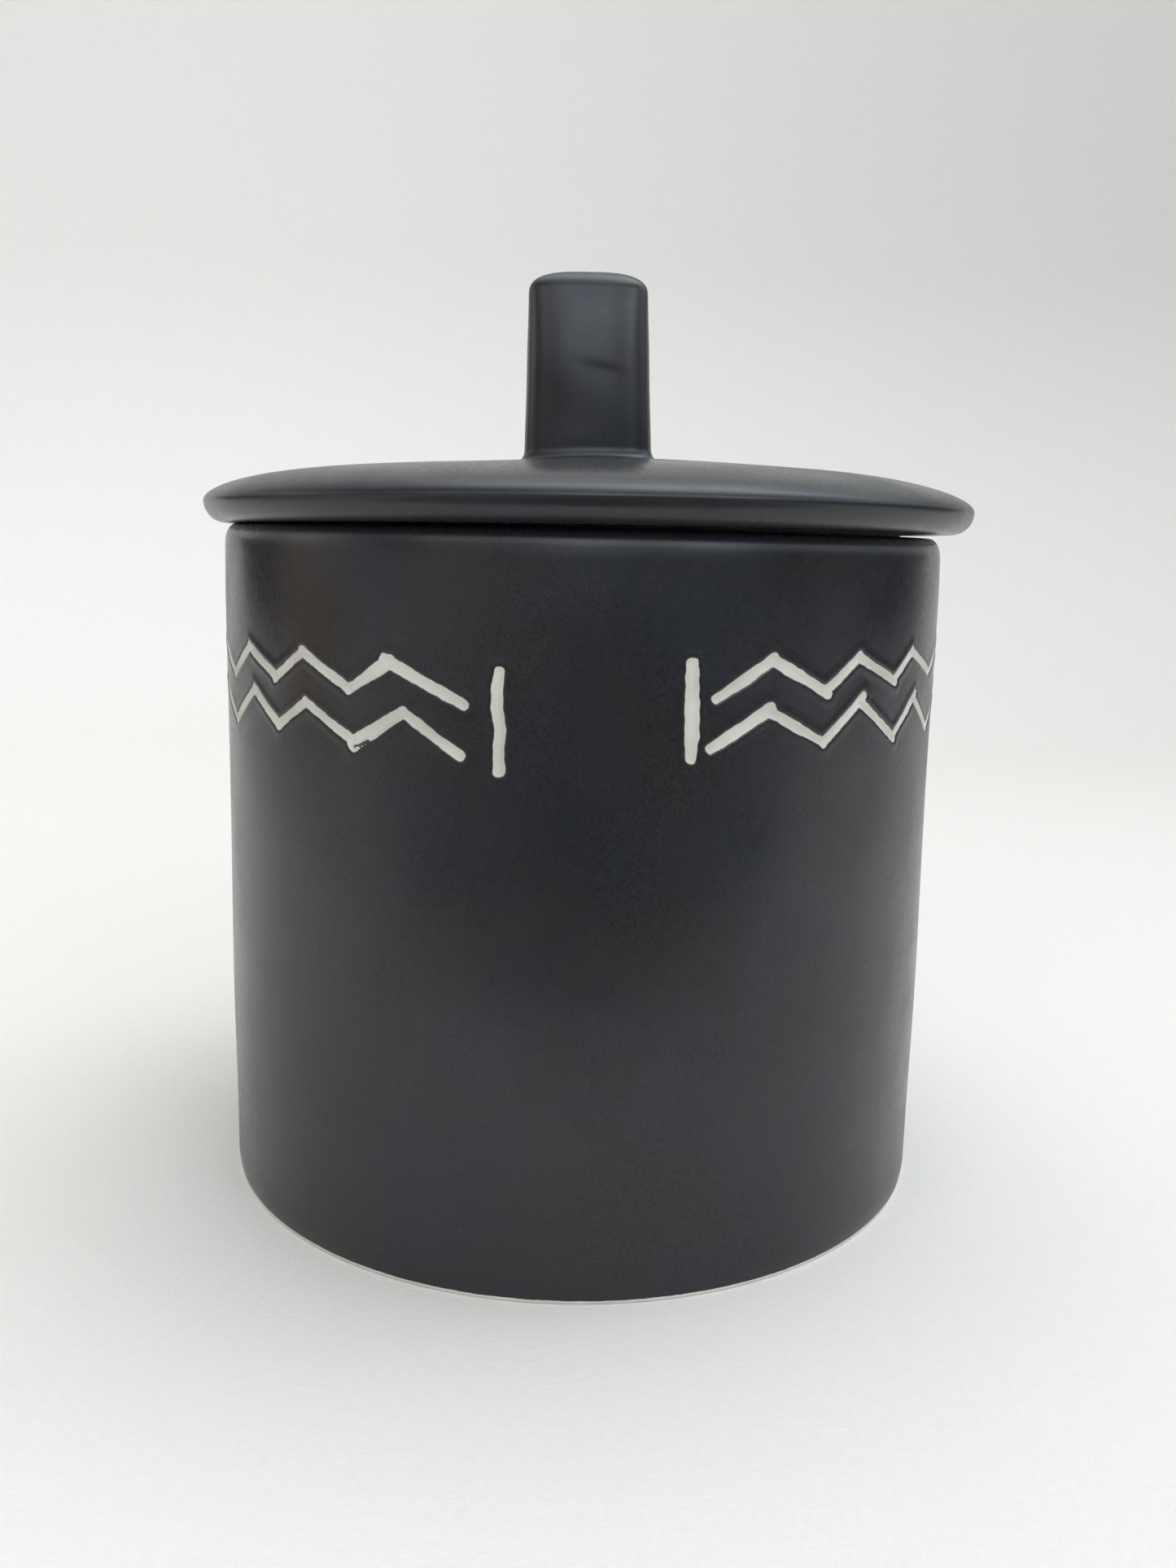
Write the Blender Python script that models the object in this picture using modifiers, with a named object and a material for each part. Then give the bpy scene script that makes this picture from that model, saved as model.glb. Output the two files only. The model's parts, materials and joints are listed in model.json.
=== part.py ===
"""Lidded sugar bowl of satin charcoal stoneware.

A straight-sided thrown bowl stands on a low bare foot ring. A low domed lid rests on its rim and is kept
central by a locating ring under the lid, which hangs loosely in the mouth. A flat tab knob is luted upright
to the middle of the lid. The bowl is one piece; disc, locating ring and knob move together as the lid.

Frame: +Z up, origin at the middle of the foot on the table, broad faces of the knob towards -Y and +Y.
Lengths are in metres.
"""

import math

import bmesh
import bpy

# Bowl
RIM_RADIUS = 0.0478  # outside, just under the rim
BELLY_RADIUS = 0.0482  # outside, at the fullest height
FOOT_RADIUS = 0.0480  # outside, where it meets the table
BOWL_HEIGHT = 0.0872
BELLY_HEIGHT = 0.014
WALL_THICKNESS = 0.0048
FLOOR_THICKNESS = 0.0055
RIM_ROUNDING = 0.0018
FLOOR_CORNER = 0.0070  # inside, between floor and wall
FOOT_CORNER = 0.0004  # outside, between foot and wall
FOOT_RING_WIDTH = 0.0065
FOOT_RECESS = 0.0010

# Lid
LID_RADIUS = 0.0511  # at the fullest part of the edge
LID_SHIFT = 0.0007  # the lid sits this far off centre, towards +X, within its play
SEAT_GAP = 0.0003  # between pieces that touch
UNDERSIDE = BOWL_HEIGHT + SEAT_GAP
EQUATOR_RISE = 0.0028  # from the underside up to the fullest part of the edge
EDGE_UNDERCUT = 0.0026  # the edge draws in this much below the fullest part
CROWN_RISE = 0.0096  # from the underside up to the middle of the top
CROWN_LAND = 0.0050  # radius of the level middle
CONE_SLOPE = 0.078  # fall of the top per unit of radius
SHOULDER_RUN = 0.0140  # width of the rounding that carries the top over into the edge
HOLLOW_RADIUS = 0.0375  # the underside is domed inside the locating ring
HOLLOW_RISE = 0.0036

# Locating ring
RING_PLAY = 0.0012  # between the ring and the bowl's mouth, all round
RING_THICKNESS = 0.0034
RING_DEPTH = 0.0080
RING_TAPER = 0.0004
RING_ROUNDING = 0.0008

# Knob
KNOB_WIDTH_FOOT = 0.0173
KNOB_WIDTH_TOP = 0.0164
KNOB_DEPTH_FOOT = 0.0098
KNOB_DEPTH_TOP = 0.0078
KNOB_TOP = 0.1213
KNOB_EDGE_ROUNDING = 0.0034
KNOB_TOP_ROUNDING = 0.0030
KNOB_SHIFT = -0.0003  # the knob stands this far off the lid's middle, along X

SEGMENTS = 72  # around every turned piece
ARC_STEPS = 5  # along every rounding of a profile
MERGE_DISTANCE = 0.00001

GLAZE = {"color": (0.030, 0.032, 0.036, 1.0), "roughness": 0.42}
CLAY = {"color": (0.62, 0.56, 0.47, 1.0), "roughness": 0.85}


def arc(centre, radii, start_deg, end_deg, steps=ARC_STEPS):
    """Points of an elliptical arc in the profile's plane, as (radius, height) pairs."""
    points = []
    for step in range(steps + 1):
        angle = math.radians(start_deg + (end_deg - start_deg) * step / steps)
        points.append((centre[0] + radii[0] * math.cos(angle), centre[1] + radii[1] * math.sin(angle)))
    return points


def outer_radius(height):
    """Outside radius of the bowl: it swells from the rim to the belly along a quarter of a sine wave."""
    share = (BOWL_HEIGHT - height) / (BOWL_HEIGHT - BELLY_HEIGHT)
    return RIM_RADIUS + (BELLY_RADIUS - RIM_RADIUS) * math.sin(math.radians(90) * share)


def bowl_profile():
    """From the middle of the floor up the inside, over the rim, down the outside and in under the foot."""
    inner = RIM_RADIUS - WALL_THICKNESS
    rim = RIM_ROUNDING
    foot_inner = FOOT_RADIUS - FOOT_CORNER - FOOT_RING_WIDTH
    points = [(0.0, FLOOR_THICKNESS)]
    points += arc((inner - FLOOR_CORNER, FLOOR_THICKNESS + FLOOR_CORNER), (FLOOR_CORNER, FLOOR_CORNER), -90, 0)
    points += arc((inner + rim, BOWL_HEIGHT - rim), (rim, rim), 180, 90)
    points += arc((RIM_RADIUS - rim, BOWL_HEIGHT - rim), (rim, rim), 90, 0)
    for height in (0.070, 0.052, 0.034, BELLY_HEIGHT):
        points.append((outer_radius(height), height))
    points += arc((FOOT_RADIUS - FOOT_CORNER, FOOT_CORNER), (FOOT_CORNER, FOOT_CORNER), 0, -90)
    points += [(foot_inner, 0.0), (foot_inner - FOOT_RECESS, FOOT_RECESS), (0.0, FOOT_RECESS)]
    return points


def lid_top(radius):
    """Height of the lid's top: a level middle, then a shallow cone, which an ellipse rounds over at the edge."""
    cone = CROWN_RISE - CONE_SLOPE * max(0.0, radius - CROWN_LAND)
    edge_drop = CROWN_RISE - CONE_SLOPE * (LID_RADIUS - CROWN_LAND) - EQUATOR_RISE
    reach = max(0.0, radius - (LID_RADIUS - SHOULDER_RUN)) / SHOULDER_RUN
    return cone - edge_drop * (1.0 - math.sqrt(max(0.0, 1.0 - reach * reach)))


def lid_disc_profile():
    """From the middle of the top out over the edge, in along the flat seat and up into the domed hollow."""
    flat = LID_RADIUS - SHOULDER_RUN
    radii = [0.0, CROWN_LAND, 0.5 * (CROWN_LAND + flat), flat]
    for step in range(1, 9):
        radii.append(flat + SHOULDER_RUN * math.sin(math.radians(90) * step / 8))
    points = [(radius, lid_top(radius)) for radius in radii]
    points += arc((LID_RADIUS - EDGE_UNDERCUT, EQUATOR_RISE), (EDGE_UNDERCUT, EQUATOR_RISE), 0, -90)[1:]
    points += arc((0.0, 0.0), (HOLLOW_RADIUS, HOLLOW_RISE), 0, 90)
    return points


def locating_ring_profile():
    """A closed band: down the outside, round the lower lip and up the inside. It narrows a little downwards."""
    outer = RIM_RADIUS - WALL_THICKNESS - RING_PLAY
    inner = outer - RING_THICKNESS
    lip = RING_ROUNDING
    bottom = -RING_DEPTH
    points = [(outer, -SEAT_GAP)]
    points += arc((outer - RING_TAPER - lip, bottom + lip), (lip, lip), 0, -90, 3)
    points += arc((inner + lip, bottom + lip), (lip, lip), -90, -180, 3)
    points += [(inner, -SEAT_GAP)]
    return points


def new_collection(name):
    collection = bpy.data.collections.new(name)
    bpy.context.scene.collection.children.link(collection)
    return collection


def material(name, finish):
    made = bpy.data.materials.new(name)
    made.use_nodes = True
    shader = made.node_tree.nodes["Principled BSDF"]
    shader.inputs["Base Color"].default_value = finish["color"]
    shader.inputs["Roughness"].default_value = finish["roughness"]
    shader.inputs["Metallic"].default_value = 0.0
    return made


def add_object(name, mesh, parent, finish, collection):
    piece = bpy.data.objects.new(name, mesh)
    piece.parent = parent
    mesh.materials.append(material(name + "_finish", finish))
    collection.objects.link(piece)
    return piece


def turned(name, profile, closed, parent, finish, collection):
    """A turned piece: its profile is spun a full turn about the vertical through its origin."""
    edges = [(index, index + 1) for index in range(len(profile) - 1)]
    if closed:
        edges.append((len(profile) - 1, 0))
    mesh = bpy.data.meshes.new(name)
    mesh.from_pydata([(radius, 0.0, height) for radius, height in profile], edges, [])
    piece = add_object(name, mesh, parent, finish, collection)
    screw = piece.modifiers.new("turning", "SCREW")
    screw.axis = "Z"
    screw.steps = SEGMENTS
    screw.render_steps = SEGMENTS
    screw.use_merge_vertices = True
    screw.merge_threshold = MERGE_DISTANCE
    screw.use_smooth_shade = True
    return piece


def knob_block():
    """A block that narrows upwards, with its upright edges and its top edges weighted for rounding."""
    foot = CROWN_RISE + SEAT_GAP
    top = KNOB_TOP - UNDERSIDE
    block = bmesh.new()
    bmesh.ops.create_cube(block, size=1.0)
    weights = block.edges.layers.float.new("bevel_weight_edge")
    for vertex in block.verts:
        upper = vertex.co.z > 0
        vertex.co.x *= KNOB_WIDTH_TOP if upper else KNOB_WIDTH_FOOT
        vertex.co.y *= KNOB_DEPTH_TOP if upper else KNOB_DEPTH_FOOT
        vertex.co.z = top if upper else foot
    for edge in block.edges:
        heights = [vertex.co.z for vertex in edge.verts]
        if min(heights) < max(heights):
            edge[weights] = 1.0
        elif min(heights) > foot:
            edge[weights] = KNOB_TOP_ROUNDING / KNOB_EDGE_ROUNDING
    mesh = bpy.data.meshes.new("lid_knob")
    block.to_mesh(mesh)
    block.free()
    return mesh


def add_knob(parent, finish, collection):
    piece = add_object("lid_knob", knob_block(), parent, finish, collection)
    piece.location.x = KNOB_SHIFT
    rounding = piece.modifiers.new("rounding", "BEVEL")
    rounding.limit_method = "WEIGHT"
    rounding.width = KNOB_EDGE_ROUNDING
    rounding.segments = 6
    piece.data.shade_smooth()
    return piece


def pivot(name, location, collection):
    """An empty on the lid's line of travel, which carries the pieces that lift together."""
    empty = bpy.data.objects.new(name, None)
    empty.location = location
    collection.objects.link(empty)
    return empty


def main():
    for leftover in list(bpy.data.objects):
        bpy.data.objects.remove(leftover, do_unlink=True)
    pieces = new_collection("sugar_bowl")
    turned("bowl", bowl_profile(), False, None, GLAZE, pieces)
    lid = pivot("lid_lift", (LID_SHIFT, 0.0, UNDERSIDE), pieces)
    turned("lid_disc", lid_disc_profile(), False, lid, GLAZE, pieces)
    turned("lid_locating_ring", locating_ring_profile(), True, lid, CLAY, pieces)
    add_knob(lid, GLAZE, pieces)


main()
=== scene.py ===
"""Looks of a lidded stoneware sugar bowl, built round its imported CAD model.

The bowl, the lid's disc, its locating ring and its knob are remade as fine surfaces in the places of their
CAD nodes. A band of strokes is cut through the charcoal glaze down to the cream clay. The stage is a sweep of
pale paper under soft light. Lengths are in metres unless a name says millimetres. An azimuth is an angle about the
vertical, in degrees, counted from the front (-Y) towards +X.
"""

import json
import logging
import math
from collections.abc import Callable
from dataclasses import dataclass, field
from enum import Enum

import bpy
import numpy as np
from mathutils import Matrix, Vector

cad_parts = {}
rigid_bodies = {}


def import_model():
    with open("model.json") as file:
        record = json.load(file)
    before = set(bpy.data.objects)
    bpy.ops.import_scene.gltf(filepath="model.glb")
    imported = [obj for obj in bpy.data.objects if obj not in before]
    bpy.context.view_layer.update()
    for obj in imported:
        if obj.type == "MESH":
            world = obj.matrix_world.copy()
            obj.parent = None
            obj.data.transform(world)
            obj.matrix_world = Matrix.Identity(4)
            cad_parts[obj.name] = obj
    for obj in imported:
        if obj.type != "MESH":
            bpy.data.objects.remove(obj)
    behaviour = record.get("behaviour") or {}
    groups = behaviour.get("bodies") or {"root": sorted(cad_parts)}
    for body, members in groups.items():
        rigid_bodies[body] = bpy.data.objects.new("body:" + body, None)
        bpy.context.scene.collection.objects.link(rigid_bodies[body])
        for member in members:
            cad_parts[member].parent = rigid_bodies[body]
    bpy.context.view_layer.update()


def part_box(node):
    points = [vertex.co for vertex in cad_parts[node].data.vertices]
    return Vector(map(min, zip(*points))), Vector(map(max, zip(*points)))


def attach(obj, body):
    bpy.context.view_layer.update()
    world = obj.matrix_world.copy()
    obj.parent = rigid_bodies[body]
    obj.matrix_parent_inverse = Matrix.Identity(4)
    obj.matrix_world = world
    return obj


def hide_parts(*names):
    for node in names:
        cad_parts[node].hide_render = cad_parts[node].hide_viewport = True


for leftover in list(bpy.data.objects):
    bpy.data.objects.remove(leftover, do_unlink=True)
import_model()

MM = 0.001
FULL_TURN = 2.0 * math.pi
WALL_RADIUS_MM = 47.9
MM_PER_DEGREE = WALL_RADIUS_MM * math.radians(1.0)
log = logging.getLogger("sugar_bowl")

Pair = tuple[float, float]
Colour = tuple[float, float, float]
Socket = bpy.types.NodeSocket
Relief = Callable[[np.ndarray, np.ndarray, np.ndarray], np.ndarray]


class Body(Enum):
    """The CAD bodies that a piece can ride on."""

    BOWL = "bowl"
    LID = "lid"


class Slot(Enum):
    """The record's material slots."""

    GLAZE = "charcoal_glaze"
    CLAY = "bare_clay"


def smoothstep(low: float, high: float, value: np.ndarray) -> np.ndarray:
    """Rise smoothly from 0 at low to 1 at high: 3t^2 - 2t^3 of the share t of the way.

    Args:
        low: Where the rise starts.
        high: Where the rise ends.
        value: The numbers to read the curve at.

    Returns:
        The curve's value at each number.
    """
    share = np.clip((value - low) / (high - low), 0.0, 1.0)
    return share * share * (3.0 - 2.0 * share)


@dataclass(frozen=True)
class Waver:
    """Hand-made unevenness: a sum of sine waves over two coordinates, with seeded directions and phases."""

    seed: int
    wavelength: float
    height: float
    waves: int = 7

    def at(self, first: np.ndarray, second: np.ndarray) -> np.ndarray:
        """Sum the waves at points of a surface.

        Args:
            first: One coordinate of each point, in the unit of the wavelength.
            second: The other coordinate of each point.

        Returns:
            A height for each point, mostly between minus and plus self.height.
        """
        rng = np.random.default_rng(self.seed)
        total = np.zeros(np.broadcast(first, second).shape)
        for _ in range(self.waves):
            heading, phase = rng.uniform(0.0, FULL_TURN, 2)
            rate = FULL_TURN / (self.wavelength * rng.uniform(0.7, 1.6))
            total += np.sin(rate * (first * math.cos(heading) + second * math.sin(heading)) + phase)
        return self.height * total / math.sqrt(self.waves)


def arc(centre: Pair, radii: Pair, turn: Pair, count: int) -> np.ndarray:
    """Points (radius, height) on an ellipse: the centre plus the radii times cosine and sine of the angle.

    Args:
        centre: Radius and height of the ellipse's centre.
        radii: Its half axes along the radius and along the height.
        turn: First and last angle, in degrees; 0 points outwards and 90 up.
        count: How many points, both ends included.

    Returns:
        An array of shape (count, 2).
    """
    angles = np.radians(np.linspace(turn[0], turn[1], count))
    return np.stack([centre[0] + radii[0] * np.cos(angles), centre[1] + radii[1] * np.sin(angles)], axis=1)


def line(start: Pair, end: Pair, count: int) -> np.ndarray:
    """Evenly spaced points (radius, height) from start to end, both included."""
    return np.linspace(np.asarray(start, float), np.asarray(end, float), count)


def make_piece(name: str, points: np.ndarray, faces: list[np.ndarray]) -> bpy.types.Object:
    """Put points and faces into a smooth-shaded mesh object at the origin.

    Args:
        name: The piece's name.
        points: Vertex places, of shape (n, 3).
        faces: Arrays of vertex numbers, each of shape (k, 3) or (k, 4), counter-clockwise from outside.

    Returns:
        The new object, linked to the scene.
    """
    loops = np.concatenate([group.ravel() for group in faces]).astype(np.int32)
    totals = np.concatenate([np.full(len(group), group.shape[1]) for group in faces]).astype(np.int32)
    starts = np.concatenate([[0], np.cumsum(totals)[:-1]]).astype(np.int32)
    mesh = bpy.data.meshes.new(name)
    mesh.vertices.add(len(points))
    mesh.vertices.foreach_set("co", points.astype(np.float32).ravel())
    mesh.loops.add(len(loops))
    mesh.loops.foreach_set("vertex_index", loops)
    mesh.polygons.add(len(totals))
    mesh.polygons.foreach_set("loop_start", starts)
    mesh.polygons.foreach_set("loop_total", totals)
    mesh.update(calc_edges=True)
    mesh.validate()
    mesh.shade_smooth()
    piece = bpy.data.objects.new(name, mesh)
    bpy.context.scene.collection.objects.link(piece)
    return piece


def store(piece: bpy.types.Object, name: str, values: np.ndarray) -> None:
    """Keep one number per vertex on a piece as a float attribute that its material reads."""
    attribute = piece.data.attributes.new(name, "FLOAT", "POINT")
    attribute.data.foreach_set("value", values.astype(np.float32))


@dataclass
class Stretch:
    """A run of a turned piece's profile whose rings all have the same number of columns.

    At an azimuth, radius and height, relief gives what is added to the radius, and lift what is added to the
    height.
    """

    points: np.ndarray
    columns: int
    relief: Relief | None = None
    lift: Relief | None = None


@dataclass
class Lathe:
    """Turns a profile about a vertical axis into one closed mesh, with fine columns only where they are needed.

    The point of a ring at azimuth a is (centre + r sin a, -r cos a, h). The profile runs from the axis up the
    inside or along the top, down the outside and back to the axis underneath, so its faces point outwards. A
    profile that never meets the axis is a band, whose last ring joins its first.
    """

    stretches: list[Stretch]
    centre_x: float = 0.0
    rings: list[np.ndarray] = field(default_factory=list)
    flat: np.ndarray | None = None

    def spin(self) -> None:
        """Work out every ring's azimuth, radius and height, with each stretch's relief and lift added."""
        rows = []
        start = 0
        for stretch in self.stretches:
            azimuth = (np.arange(stretch.columns) / stretch.columns - 0.5) * FULL_TURN
            for radius, height in stretch.points:
                count = 1 if radius < 1e-9 else stretch.columns
                ring = np.zeros((count, 3))
                ring[:, 0] = azimuth[:count]
                ring[:, 1] = radius
                ring[:, 2] = height
                if stretch.relief is not None:
                    ring[:, 1] += stretch.relief(*ring.T)
                if stretch.lift is not None:
                    ring[:, 2] += stretch.lift(*ring.T)
                rows.append(ring)
                self.rings.append(np.arange(start, start + count))
                start += count
        self.flat = np.concatenate(rows)

    def points(self) -> np.ndarray:
        """Places of all vertices, ring after ring."""
        azimuth, radius, height = self.flat.T
        return np.stack([self.centre_x + radius * np.sin(azimuth), -radius * np.cos(azimuth), height], axis=1)

    @staticmethod
    def between(upper: np.ndarray, lower: np.ndarray) -> list[np.ndarray]:
        """Faces that join two neighbouring rings of equal columns, of four times as many, or to a pole.

        Args:
            upper: Vertex numbers of the ring that comes first in the profile.
            lower: Vertex numbers of the next ring.

        Returns:
            Arrays of faces.
        """
        after = np.roll(upper, -1)
        below = np.roll(lower, -1)
        if len(upper) == 1:
            return [np.stack([np.full(len(lower), upper[0]), lower, below], axis=1)]
        if len(lower) == 1:
            return [np.stack([upper, np.full(len(upper), lower[0]), after], axis=1)]
        if len(upper) == len(lower):
            return [np.stack([upper, lower, below, after], axis=1)]
        if len(lower) > len(upper):
            fine = np.stack([np.roll(lower, -step)[::4] for step in range(5)], axis=1)
            faces = [(upper, fine[:, step], fine[:, step + 1]) for step in (0, 1)]
            faces.append((upper, fine[:, 2], after))
            faces += [(after, fine[:, step], fine[:, step + 1]) for step in (2, 3)]
        else:
            fine = np.stack([np.roll(upper, -step)[::4] for step in range(5)], axis=1)
            faces = [(lower, fine[:, step + 1], fine[:, step]) for step in (0, 1)]
            faces.append((lower, below, fine[:, 2]))
            faces += [(below, fine[:, step + 1], fine[:, step]) for step in (2, 3)]
        return [np.stack(corners, axis=1) for corners in faces]

    def piece(self, name: str) -> bpy.types.Object:
        """Spin the profile and make the object.

        Args:
            name: The piece's name.

        Returns:
            The closed, smooth-shaded object.
        """
        self.spin()
        pairs = list(zip(self.rings[:-1], self.rings[1:]))
        if len(self.rings[0]) > 1:
            pairs.append((self.rings[-1], self.rings[0]))
        faces = [group for upper, lower in pairs for group in self.between(upper, lower)]
        return make_piece(name, self.points(), faces)


@dataclass(frozen=True)
class Cut:
    """One pull of the loop tool: a straight stroke whose width changes evenly from end to end.

    Ends are (azimuth in degrees, height in millimetres), widths are in millimetres.
    """

    start: Pair
    end: Pair
    widths: Pair
    squareness: float = 2.5

    def distance(self, azimuth: np.ndarray, height: np.ndarray) -> np.ndarray:
        """Signed distance to the stroke's edge on the unrolled wall, below zero inside it.

        The distance past the stroke's ends and the distance to its side are joined by a power mean, which makes
        the ends rounded squares.

        Args:
            azimuth: Azimuth of each point, in degrees.
            height: Height of each point, in millimetres.

        Returns:
            Distances in millimetres.
        """
        across = ((azimuth - self.start[0] + 180.0) % 360.0 - 180.0) * MM_PER_DEGREE
        up = height - self.start[1]
        run = (self.end[0] - self.start[0]) * MM_PER_DEGREE
        rise = self.end[1] - self.start[1]
        length = math.hypot(run, rise)
        along = (across * run + up * rise) / length
        side = np.abs(across * rise - up * run) / length
        past = np.maximum(np.maximum(-along, along - length), 0.0)
        share = np.clip(along / length, 0.0, 1.0)
        half = 0.5 * (self.widths[0] + (self.widths[1] - self.widths[0]) * share)
        power = self.squareness
        return (past**power + side**power) ** (1.0 / power) - half


@dataclass(frozen=True)
class Zigzag:
    """Strokes from corner to corner, each with its own widths and each pulled a little past its corner.

    Sides are cut in order for as long as past has lengths. Any sides after those are not cut.
    """

    corners: tuple[Pair, ...]
    widths: tuple[Pair, ...]
    past: tuple[float, ...] = (0.2, 0.2, 0.2, 0.2, 0.2, 0.2, 0.1)

    def cuts(self) -> list[Cut]:
        """A cut for each side that self.past has a length for, lengthened by it past its end corner, in mm."""
        made = []
        for start, end, widths, past in zip(self.corners[:-1], self.corners[1:], self.widths, self.past):
            run, rise = end[0] - start[0], end[1] - start[1]
            share = past / math.hypot(MM_PER_DEGREE * run, rise)
            made.append(Cut(start, (end[0] + run * share, end[1] + rise * share), widths))
        return made


@dataclass
class CutBand:
    """The band of strokes: two rows of zigzag that stop at an upright bar on each side of the front.

    The sides in front are placed one by one. Beyond them on the right each row has seven more strokes, of a
    seeded unevenness, and ends near azimuth 132. The back between there and the left-hand end is plain.
    """

    depth: float = 0.00042
    wall_width: float = 0.42
    lip_height: float = 0.00007
    lip_width: float = 0.50
    back_periods: int = 13
    seed: int = 11
    left_upper: Zigzag = Zigzag(
        corners=((-14.9, 68.4), (-25.5, 72.5), (-32, 69.2), (-41, 72.8),
                 (-47.5, 69.6), (-56, 72.6), (-63.5, 68.9), (-72, 72.4)),
        widths=((1.15, 1.45), (1.65, 1.15), (1.10, 1.15), (1.15, 1.05),
                (1.15, 1.15), (1.15, 1.10), (1.10, 1.15)),
        past=(0.60, 0.15, 0.20, 0.45, 0.25, 0.25, 0.10),
    )
    left_lower: Zigzag = Zigzag(
        corners=((-15.4, 62.9), (-23.5, 67.2), (-31, 63.3), (-40.5, 67.2),
                 (-47, 64), (-54.5, 67.6), (-63, 63.2), (-72, 67.3)),
        widths=((1.15, 1.05), (1.30, 1.80), (1.15, 1.00), (1.05, 1.15),
                (1.20, 1.10), (1.10, 1.15), (1.10, 1.15)),
        past=(0.15, 0.35, 0.15, 0.20, 0.20, 0.25, 0.10),
    )
    right_upper: Zigzag = Zigzag(
        corners=((17.5, 69.4), (25.5, 73.5), (34.5, 69.8), (41, 73.4),
                 (50, 70.4), (56, 73.5), (65.5, 70.5), (74, 73.4)),
        widths=((1.05, 1.45), (1.40, 1.15), (1.15, 1.10), (1.10, 1.00),
                (0.95, 1.00), (0.95, 1.00), (1.00, 1.05)),
        past=(0.15, 0.55, 0.20, 0.55, 0.20, 0.25, 0.10),
    )
    right_lower: Zigzag = Zigzag(
        corners=((17, 64.1), (25, 68), (34.5, 64.1), (41.5, 68.4),
                 (50.5, 63.7), (57.5, 67.9), (66, 63.4), (75, 67.8)),
        widths=((1.25, 1.40), (1.20, 1.00), (1.10, 1.05), (1.00, 0.95),
                (0.95, 1.00), (0.95, 1.00), (1.00, 1.05)),
        past=(0.45, 0.20, 0.95, 0.50, 0.80, 0.25, 0.10),
    )
    left_bar: Zigzag = Zigzag(
        corners=((-10.2, 72.0), (-10.5, 70.4), (-10.5, 68.2), (-10.0, 66.0), (-10.3, 63.8), (-10.2, 61.5)),
        widths=((1.10, 1.45), (1.45, 1.30), (1.30, 1.20), (1.20, 1.25), (1.25, 1.30)),
        past=(0.0,) * 5,
    )
    right_bar: Zigzag = Zigzag(
        corners=((14.2, 73.2), (14.2, 71.8), (14.3, 69.5), (14.4, 65.4), (14.3, 63.2)),
        widths=((1.30, 1.60), (1.60, 1.50), (1.50, 1.70), (1.70, 1.20)),
        past=(0.0,) * 4,
    )
    sliver: Cut = Cut((-31.2, 62.85), (-28.9, 63.65), (0.26, 0.40))

    def round_the_back(self, first: Pair, last: Pair, valley: float, rng: np.random.Generator) -> Zigzag:
        """Lay out one row round the unseen side, from its last corner on the right to its last on the left.

        Corners are spaced evenly, peaks and valleys by turns, each moved a little by chance. Only the first
        seven sides are cut, because that is how many lengths past has when it isn't given.

        Args:
            first: The right-hand row's last corner, a peak.
            last: The left-hand row's last corner, a peak.
            valley: Height of the valleys.
            rng: Source of the unevenness.

        Returns:
            The row's further sides as one zigzag.
        """
        sides = 2 * self.back_periods
        share = np.arange(sides + 1) / sides
        azimuth = first[0] + (last[0] + 360.0 - first[0]) * share
        height = np.where(np.arange(sides + 1) % 2 == 0, first[1] + (last[1] - first[1]) * share, valley)
        inner = slice(1, sides)
        azimuth[inner] += rng.uniform(-0.9, 0.9, sides - 1)
        height[inner] += rng.uniform(-0.45, 0.45, sides - 1)
        widths = rng.uniform(1.0, 1.4, (sides, 2))
        return Zigzag(tuple(zip(azimuth, height)), tuple(map(tuple, widths)))

    def cuts(self) -> list[Cut]:
        """Every stroke of the band: those in front, then those that follow on the right."""
        rng = np.random.default_rng(self.seed)
        rows = [self.left_upper, self.left_lower, self.right_upper, self.right_lower]
        rows += [self.left_bar, self.right_bar]
        rows.append(self.round_the_back(self.right_upper.corners[-1], self.left_upper.corners[-1], 69.8, rng))
        rows.append(self.round_the_back(self.right_lower.corners[-1], self.left_lower.corners[-1], 63.6, rng))
        return [cut for row in rows for cut in row.cuts()]

    def distance(self, azimuth: np.ndarray, height: np.ndarray) -> np.ndarray:
        """Signed distance to the nearest stroke's edge: the least over all strokes, plus the edge's waver.

        Args:
            azimuth: Azimuth of each point, in radians.
            height: Height of each point, in metres.

        Returns:
            Distances in millimetres, below zero in a stroke.
        """
        degrees = np.degrees(azimuth)
        height_mm = height / MM
        across_mm = azimuth * WALL_RADIUS_MM
        nearest = np.full(degrees.shape, 9.0)
        for cut in self.cuts():
            nearest = np.minimum(nearest, cut.distance(degrees, height_mm))
        nearest = np.maximum(nearest, -self.sliver.distance(degrees, height_mm))
        chatter = Waver(seed=5, wavelength=1.3, height=0.030).at(across_mm, height_mm)
        sway = Waver(seed=6, wavelength=4.0, height=0.045).at(across_mm, height_mm)
        return nearest + chatter + sway

    def relief(self, distance: np.ndarray) -> np.ndarray:
        """Depth of the cut wall at a signed distance: a slope down inside the edge and a low lip outside.

        Args:
            distance: Signed distances in millimetres.

        Returns:
            Heights in metres to add to the wall's radius, below zero in a stroke.
        """
        floor = smoothstep(0.06, -self.wall_width, distance)
        lip = np.exp(-(((distance - 0.30) / self.lip_width) ** 2))
        return self.lip_height * lip - (self.depth + self.lip_height) * floor


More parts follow.
